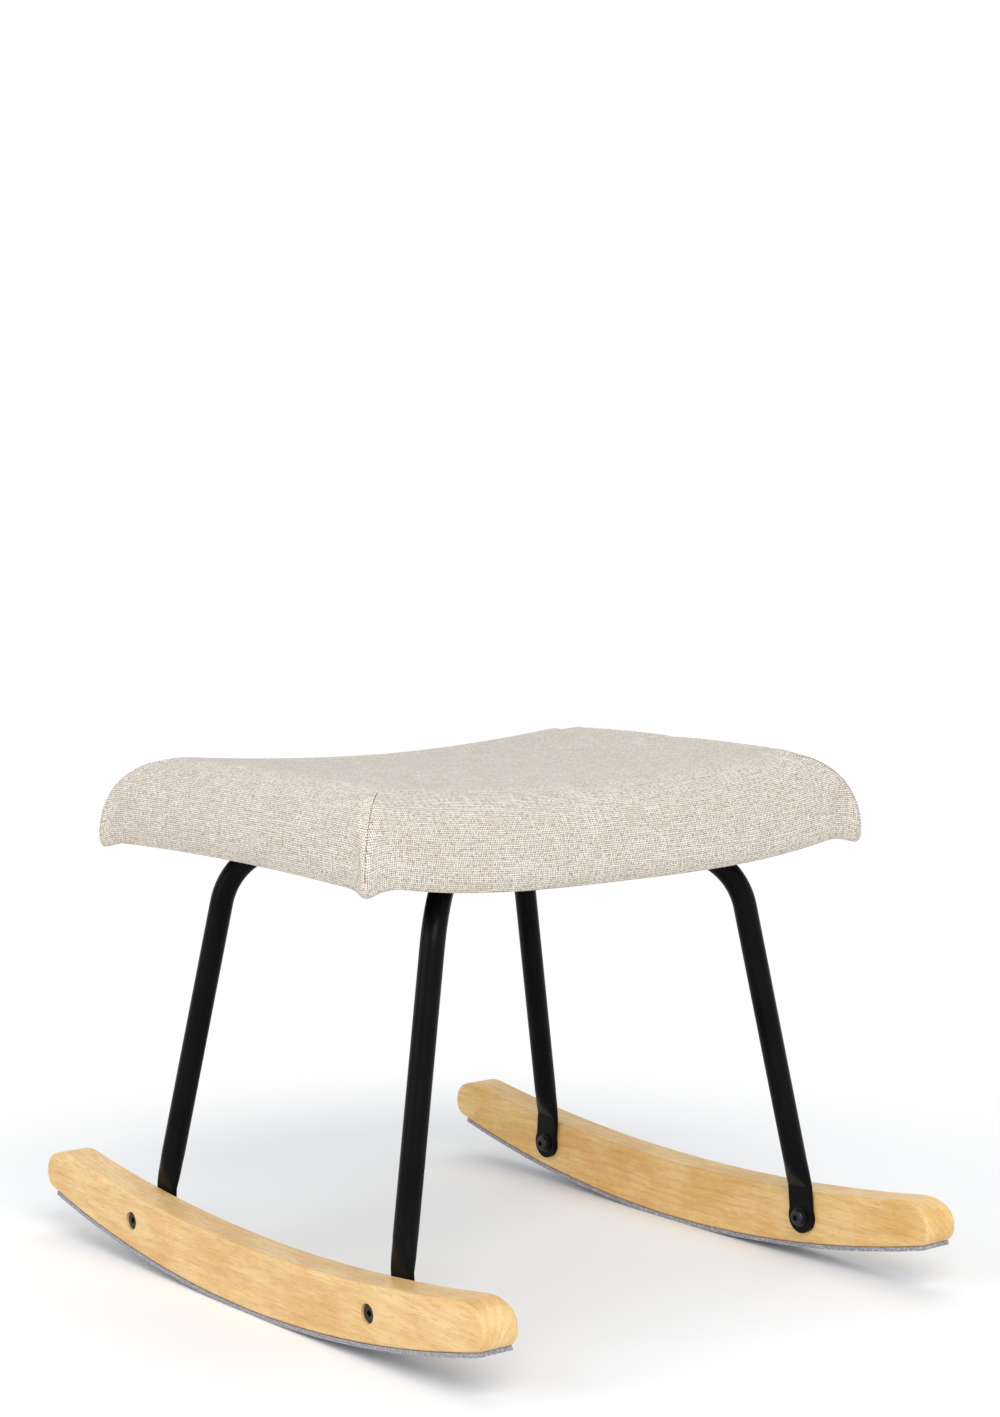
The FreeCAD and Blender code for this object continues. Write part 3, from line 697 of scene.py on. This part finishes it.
def filled_grid(ring, height):
    """Grid of points inside a ring: each is blended from the ring's points on its row and column."""
    corners = [ring[seam] for seam in SEAMS]
    grid = []
    for row in range(CELLS_Y + 1):
        t = row / CELLS_Y
        left, right = ring[edge_index(row, 0)], ring[edge_index(row, CELLS_X)]
        line = []
        for column in range(CELLS_X + 1):
            s = column / CELLS_X
            front, rear = ring[edge_index(0, column)], ring[edge_index(CELLS_Y, column)]
            weights = ((1 - s) * (1 - t), s * (1 - t), s * t, (1 - s) * t)
            point = []
            for axis in range(2):
                sides = (1 - t) * front[axis] + t * rear[axis]
                ends = (1 - s) * left[axis] + s * right[axis]
                shared = sum(weight * corner[axis] for weight, corner in zip(weights, corners))
                point.append(sides + ends - shared)
            line.append((point[0], point[1], height(point[0], point[1])))
        grid.append(line)
    return grid


class Net:
    """Vertices, faces and the flat cloth's place of every face corner."""

    def __init__(self):
        self.points = []
        self.faces = []
        self.flat = []

    def add_ring(self, ring):
        """Adds a ring's points and returns their indices."""
        first = len(self.points)
        self.points += ring
        return list(range(first, len(self.points)))

    def side_of(self, index):
        """0 front, 1 right end, 2 rear, 3 left end."""
        return sum(index >= seam for seam in SEAMS[1:])

    def flat_place(self, index, side, run):
        """Place on the flat cloth of a ring point, run being the way out from the top's edge."""
        x, y = self.points[index][:2]
        if side in (0, 2):
            reach = SEAT_HALF_Y - SIDE_ROLL + run
            return (x, -reach if side == 0 else reach)
        reach = SEAT_HALF_X - END_ROLL + run
        return (reach if side == 1 else -reach, y)

    def add_band(self, outer, inner, outer_run, inner_run):
        """Joins two rings by a band of faces."""
        for i in range(RING_POINTS):
            j = (i + 1) % RING_POINTS
            side = self.side_of(i)
            corners = ((outer[i], outer_run), (outer[j], outer_run),
                       (inner[j], inner_run), (inner[i], inner_run))
            self.faces.append(tuple(index for index, run in corners))
            self.flat.append([self.flat_place(index, side, run) for index, run in corners])

    def add_grid(self, grid, ring, upward):
        """Fills a ring with a grid; the ring's own vertices are its edge."""
        index = []
        for row, line in enumerate(grid):
            places = []
            for column, point in enumerate(line):
                edge = edge_index(row, column)
                if edge is None:
                    self.points.append(point)
                    places.append(len(self.points) - 1)
                else:
                    places.append(ring[edge])
            index.append(places)
        for row in range(CELLS_Y):
            for column in range(CELLS_X):
                face = [index[row][column], index[row][column + 1],
                        index[row + 1][column + 1], index[row + 1][column]]
                if not upward:
                    face.reverse()
                self.faces.append(tuple(face))
                self.flat.append([self.points[i][:2] for i in face])


def ring_run(first, second):
    """Distance between two rings, measured at the middle of the front."""
    return (Vector(first[CELLS_X // 2]) - Vector(second[CELLS_X // 2])).length


def seat_net():
    """The seat's whole net, its rings and the points that the board and the staples hold still."""
    net = Net()
    rings = roll_rings() + under_rings()
    indices = [net.add_ring(ring) for ring in rings]
    run = 0.0
    for place in range(1, len(rings)):
        further = run + ring_run(rings[place - 1], rings[place])
        net.add_band(indices[place], indices[place - 1], further, run)
        run = further
    net.add_grid(filled_grid(rings[0], top_height), indices[0], True)
    before_closing = len(net.points)
    net.add_grid(filled_grid(rings[-1], lambda x, y: board_height(x) + CLOSING_SINK), indices[-1], False)
    held = [index for ring in indices[HELD_FROM:] for index in ring]
    held += range(before_closing, len(net.points))
    return net, indices, held


def mesh_piece(name, points, faces):
    """A smooth shaded object made of points and faces."""
    mesh = bpy.data.meshes.new(name)
    mesh.from_pydata([tuple(point) for point in points], [], faces)
    mesh.validate()
    piece = bpy.data.objects.new(name, mesh)
    bpy.context.scene.collection.objects.link(piece)
    for polygon in mesh.polygons:
        polygon.use_smooth = True
    return piece


net, ring_indices, held = seat_net()
seat = mesh_piece("padded_seat", net.points, net.faces)
cloth_map = seat.data.uv_layers.new(name="cloth")
cloth_map.data.foreach_set("uv", [c for face in net.flat for corner in face for c in corner])
print("seat:", len(net.points), "points,", len(net.faces), "faces,", len(held), "held")

# %% [markdown]
# ### Letting the fabric swell
# The foam presses the fabric outwards while the staples under the board and the corner seams hold it.
# A short cloth simulation with a little pressure and no gravity gives the soft swelling between them.
# How far a point may move is limited, because foam gives only a few millimetres.

# %% Cloth simulation
SWELL_LIMIT = 2.2 * MM
SIM_FRAMES = 18
SEAM_HOLD = 0.6
TINY = 1e-9


def puff(piece, held_points, seam_points):
    """Runs the cloth simulation and keeps its shape, with each move capped."""
    group = piece.vertex_groups.new(name="held")
    group.add(held_points, 1.0, "REPLACE")
    group.add(seam_points, SEAM_HOLD, "REPLACE")
    cloth = piece.modifiers.new("cloth", "CLOTH")
    settings = cloth.settings
    settings.quality = 6
    settings.mass = 0.4
    settings.tension_stiffness = 40
    settings.compression_stiffness = 20
    settings.shear_stiffness = 10
    settings.bending_stiffness = 2.0
    settings.use_pressure = True
    settings.uniform_pressure_force = 3.0
    settings.vertex_group_mass = "held"
    settings.effector_weights.gravity = 0.0
    cloth.collision_settings.use_collision = False
    cloth.collision_settings.use_self_collision = False
    cloth.point_cache.frame_start = 1
    cloth.point_cache.frame_end = SIM_FRAMES
    scene = bpy.context.scene
    for step in range(1, SIM_FRAMES + 1):
        scene.frame_set(step)
    shaped = piece.evaluated_get(bpy.context.evaluated_depsgraph_get()).to_mesh()
    count = len(piece.data.vertices)
    before = np.zeros(count * 3, np.float32)
    after = np.zeros(count * 3, np.float32)
    piece.data.vertices.foreach_get("co", before)
    shaped.vertices.foreach_get("co", after)
    move = (after - before).reshape(-1, 3)
    length = np.linalg.norm(move, axis=1, keepdims=True)
    capped = move * np.minimum(1.0, SWELL_LIMIT / np.maximum(length, TINY))
    piece.modifiers.remove(cloth)
    piece.data.vertices.foreach_set("co", (before.reshape(-1, 3) + capped).astype(np.float32).ravel())
    piece.data.update()
    scene.frame_set(1)
    print("largest move:", round(float(length.max()) * 1000, 2), "mm, kept up to", SWELL_LIMIT * 1000)


seam_lines = [[ring[seam] for ring in ring_indices[:ROLL_RINGS + 1]] for seam in SEAMS]
puff(seat, held, [index for line in seam_lines for index in line])

# %% [markdown]
# ### Corner seams
# Each corner is closed by a plain seam that runs from the roll's upper part down to the tip. The seam
# pulls the fabric in a little, which is done by moving its line of points inwards, and a row of short
# stitches lies in it. The stitches are one small mesh per corner.

# %% Seams and stitches
SEAM_DEPTH = 0.9 * MM
STITCH_PITCH = 2.6 * MM
STITCH_LENGTH = 1.7 * MM
STITCH_RADIUS = 0.36 * MM
STITCH_SIDES = 6
STITCH_LIFT = 0.25 * MM
FIRST_STITCH = 22.0 * MM
SEAM_FADE = 0.45
THREAD_DARK = srgb(104, 84, 66)
THREAD_LIGHT = srgb(140, 118, 96)
THREAD_TWIST = 0.1 * MM


def sink_seams(piece, lines):
    """Moves the seam's points in along their normals, fading out towards the top."""
    normals = [vertex.normal.copy() for vertex in piece.data.vertices]
    for line in lines:
        for step, index in enumerate(line):
            share = min(1.0, step / (SEAM_FADE * len(line)))
            piece.data.vertices[index].co -= normals[index] * SEAM_DEPTH * share
    piece.data.update()


def stitch(centre, along, out, points, faces):
    """Adds one stitch, a short capsule: each section is a share of its length and a share of its radius."""
    side = along.cross(out).normalized()
    first = len(points)
    sections = ((-0.5, 0.35), (-0.3, 1.0), (0.3, 1.0), (0.5, 0.35))
    for share, width in sections:
        for corner in range(STITCH_SIDES):
            angle = 2 * math.pi / STITCH_SIDES * corner
            offset = (side * math.cos(angle) + out * math.sin(angle)) * STITCH_RADIUS * width
            points.append(centre + along * STITCH_LENGTH * share + offset)
    last = len(points) - STITCH_SIDES
    for level in range(first, last, STITCH_SIDES):
        for corner in range(STITCH_SIDES):
            a = level + corner
            b = level + (corner + 1) % STITCH_SIDES
            faces.append((a, b, b + STITCH_SIDES, a + STITCH_SIDES))
    faces.append(tuple(first + corner for corner in reversed(range(STITCH_SIDES))))
    faces.append(tuple(last + corner for corner in range(STITCH_SIDES)))


def stitches_along(name, piece, line):
    """Row of stitches that follows a seam line of the finished seat."""
    path = [piece.data.vertices[index].co.copy() for index in line]
    outs = [piece.data.vertices[index].normal.copy() for index in line]
    points, faces = [], []
    travelled, due = 0.0, FIRST_STITCH
    for start, end, out in zip(path, path[1:], outs):
        length = (end - start).length
        along = (end - start).normalized()
        while travelled + length > due:
            centre = start + along * (due - travelled) + out * STITCH_LIFT
            stitch(centre, along, out, points, faces)
            due += STITCH_PITCH
        travelled += length
    return mesh_piece(name, points, faces)


def seam_thread():
    finish = Finish("seam thread")
    twist = finish.place().noise(3000.0, detail=1.0)
    return finish.surface({
        "Base Color": twist.smooth(0.35, 0.65).mixed(THREAD_DARK, THREAD_LIGHT),
        "Roughness": 0.75,
        "Normal": finish.bump(twist, THREAD_TWIST),
    })


sink_seams(seat, seam_lines)
thread = seam_thread()
corner_names = ("front_left", "front_right", "rear_right", "rear_left")
for name, line in zip(corner_names, seam_lines):
    stitches = stitches_along("corner_stitches_" + name, seat, line)
    finish_piece(stitches, thread)
    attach(stitches, "root")
    print(stitches.name, len(stitches.data.polygons), "faces")

smooth = seat.modifiers.new("smooth", "SUBSURF")
smooth.levels = 1
smooth.render_levels = 1
finish_piece(seat, fabric)
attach(seat, "root")
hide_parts("seat_cover", "seat_foam")

# %% [markdown]
# ## The cloth under the seat
# A thin black cloth closes the hollow, stapled over the turned-in cover. It is stretched, but the
# staples pull it into small waves along its edge, and it sags a little between them. A flat sheet with
# those waves worked out is enough, because it is seen only from below.

# %% Dust cover
dust_low, dust_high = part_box("dust_cover")
DUST_THICKNESS = 0.8 * MM
DUST_DROP = TURN_IN_THICKNESS + DUST_THICKNESS / 2
DUST_CELLS_X = 96
DUST_CELLS_Y = 64
STAPLE_PITCH = 45.0 * MM
WAVE_DEPTH = 0.25 * MM
WAVE_REACH = 22.0 * MM
DOT_PITCH = 2.0 * MM
DOT_RELIEF = 0.15 * MM
DUST_BLACK = srgb(24, 24, 26)
DUST_GREY = srgb(52, 52, 55)


def staple_wave(run):
    """0 at one staple, 1 half way to the next."""
    return 0.5 - 0.5 * math.cos(2 * math.pi * run / STAPLE_PITCH)


def dust_height(x, y, half_x, half_y):
    """Height of the cloth's middle: waves near the edges, opposite to the staples."""
    from_end = half_x - abs(x)
    from_side = half_y - abs(y)
    wave_x = math.exp(-from_side / WAVE_REACH) * staple_wave(x)
    wave_y = math.exp(-from_end / WAVE_REACH) * staple_wave(y)
    return board_height(x) - DUST_DROP - WAVE_DEPTH * (wave_x + wave_y)


def dust_cloth():
    """The cloth as a grid of points, and its flat size."""
    half_x = (dust_high.x - dust_low.x) / 2
    half_y = (dust_high.y - dust_low.y) / 2
    points, faces = [], []
    for row in range(DUST_CELLS_Y + 1):
        for column in range(DUST_CELLS_X + 1):
            x = half_x * (2 * column / DUST_CELLS_X - 1)
            y = half_y * (2 * row / DUST_CELLS_Y - 1)
            points.append((x, y, dust_height(x, y, half_x, half_y)))
    for row in range(DUST_CELLS_Y):
        for column in range(DUST_CELLS_X):
            first = row * (DUST_CELLS_X + 1) + column
            faces.append((first, first + DUST_CELLS_X + 1, first + DUST_CELLS_X + 2, first + 1))
    piece = mesh_piece("underside_cloth", points, faces)
    thick = piece.modifiers.new("thick", "SOLIDIFY")
    thick.thickness = DUST_THICKNESS
    thick.offset = 0.0
    return piece, (2 * half_x, 2 * half_y)


def non_woven():
    finish = Finish("black non-woven cloth")
    place = finish.place()
    rows = (place.part(0) * (math.pi / DOT_PITCH)).cosine()
    columns = (place.part(1) * (math.pi / DOT_PITCH)).cosine()
    dots = (rows * columns).absolute()
    fibres = place.noise(900.0, detail=4.0, roughness=0.7)
    return finish.surface({
        "Base Color": fibres.smooth(0.35, 0.7).mixed(DUST_BLACK, DUST_GREY),
        "Roughness": 0.9,
        "Normal": finish.bump(dots * 0.6 + fibres * 0.6, DOT_RELIEF),
    })


underside, dust_flat = dust_cloth()
finish_piece(underside, non_woven())
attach(underside, "root")
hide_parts("dust_cover")
print("underside cloth:", [round(side, 3) for side in dust_flat])

# %% [markdown]
# ## Felt strips
# The strips under the rockers are pressed wool felt, grey with lighter and darker fibres. The strips
# keep the frame's shape, because felt of this thickness is stiff and glued flat to the wood. What makes
# felt look like felt is its skin, so fine fibres and pale flecks go into its colour and its bump.

# %% Felt
FELT_DARK = srgb(104, 104, 112)
FELT_LIGHT = srgb(170, 170, 178)
FELT_FLECK = srgb(222, 222, 228)
FELT_PILE = 0.6 * MM


def felt_finish():
    finish = Finish("grey felt")
    place = finish.place()
    fibres = place.noise(1100.0, detail=4.0, roughness=0.75, distortion=1.5)
    flecks = place.noise(620.0, detail=3.0, roughness=0.7)
    light = flecks.smooth(0.52, 0.62)
    base = fibres.smooth(0.38, 0.62).mixed(FELT_DARK, FELT_LIGHT)
    return finish.surface({
        "Base Color": (light * 0.7).mixed(base, FELT_FLECK),
        "Roughness": 0.96,
        "Normal": finish.bump(fibres, FELT_PILE, 0.8),
        "Specular IOR Level": 0.1,
        "Sheen Weight": 0.3,
    })


felt = felt_finish()
for name in ("felt_strip_left", "felt_strip_right"):
    finish_piece(nodes[name], felt)

# %% [markdown]
# ## Floor, backdrop and light
# The picture has a plain white ground with faint grey shadows. The floor is a large pale matte plane,
# so near the stool it keeps the real shadow. Further out it eases into a plain white glow, which only
# the camera and reflections see and which meets the white backdrop without an edge. Big soft lamps, two
# a little warm and one cool from above, and an even world light the object at a level where a colour
# comes out about as it is written.

# %% Stage
FLOOR_SIZE = 12.0
FLOOR_GREY = (0.955, 0.958, 0.966, 1.0)
FLOOR_PALE = (0.975, 0.978, 0.984, 1.0)
WHITE = (1.0, 1.0, 1.0, 1.0)
# The floor is all matte up to the first distance, and all glow beyond the second
MATTE_REACH = 0.42
GLOW_START = 0.85
WORLD_LIGHT = 0.5
LAMP_TARGET = Vector((0.0, 0.0, 0.25))
WARM = (1.0, 0.985, 0.965)
COOL = (0.84, 0.93, 1.0)


def camera_or_mirror(start):
    """1 for rays from the camera, or seen in metal or glass; 0 for light on its way to the stool."""
    seen = start.node("LightPath", output="Is Camera Ray")
    shiny = start.node("LightPath", output="Is Glossy Ray")
    clear = start.node("LightPath", output="Is Transmission Ray")
    return seen.larger(shiny).larger(clear)


def make_floor():
    """A pale plane that is matte near the stool and glows white further out."""
    half = FLOOR_SIZE / 2
    corners = [(-half, -half, 0), (half, -half, 0), (half, half, 0), (-half, half, 0)]
    floor = mesh_piece("floor", corners, [(0, 1, 2, 3)])
    finish = Finish("floor")
    place = finish.place()
    flat = place.stretch(1.0, 1.0, 0.0)
    distance = flat.node("VectorMath", {"operation": "LENGTH"}, {0: flat}, output=1)
    seen = camera_or_mirror(finish.start) * distance.smooth(MATTE_REACH, GLOW_START)
    speckle = place.noise(3.0, detail=2.0)
    tone = speckle.smooth(0.2, 0.8).mixed(FLOOR_GREY, FLOOR_PALE)
    matte = finish.start.node("BsdfDiffuse", None, {"Color": tone})
    glow = finish.start.node("Emission", None, {"Color": WHITE, "Strength": 1.0})
    shown = finish.start.node("MixShader", None, {0: seen, 1: matte, 2: glow})
    out = finish.tree.nodes.new("ShaderNodeOutputMaterial")
    finish.tree.links.new(shown.socket, out.inputs["Surface"])
    finish_piece(floor, finish.material)


def make_world():
    """White to the camera, a weaker even light to the stool."""
    world = bpy.data.worlds.new("studio")
    bpy.context.scene.world = world
    world.use_nodes = True
    tree = world.node_tree
    tree.nodes.clear()
    start = Wire(tree, None)
    strength = camera_or_mirror(start).smooth(0.0, 1.0, WORLD_LIGHT, 1.0)
    glow = start.node("Background", None, {"Color": WHITE, "Strength": strength})
    out = tree.nodes.new("ShaderNodeOutputWorld")
    tree.links.new(glow.socket, out.inputs["Surface"])


def add_lamp(name, place, width, height, power, colour):
    """A soft rectangular lamp aimed at the stool; power in watts."""
    data = bpy.data.lights.new(name, "AREA")
    data.shape = "RECTANGLE"
    data.size = width
    data.size_y = height
    data.energy = power
    data.color = colour
    lamp = bpy.data.objects.new(name, data)
    lamp.location = place
    lamp.rotation_euler = (LAMP_TARGET - Vector(place)).to_track_quat("-Z", "Y").to_euler()
    bpy.context.scene.collection.objects.link(lamp)


make_floor()
make_world()
add_lamp("key", (-1.2, -2.6, 2.3), width=2.2, height=2.0, power=78.0, colour=WARM)
add_lamp("fill", (-2.8, 0.4, 1.6), width=2.0, height=2.0, power=24.0, colour=WARM)
add_lamp("top", (0.6, 0.6, 3.0), width=3.0, height=3.0, power=26.0, colour=COOL)
bpy.context.scene.view_settings.view_transform = "Standard"
print("lamps:", len(bpy.data.lights))
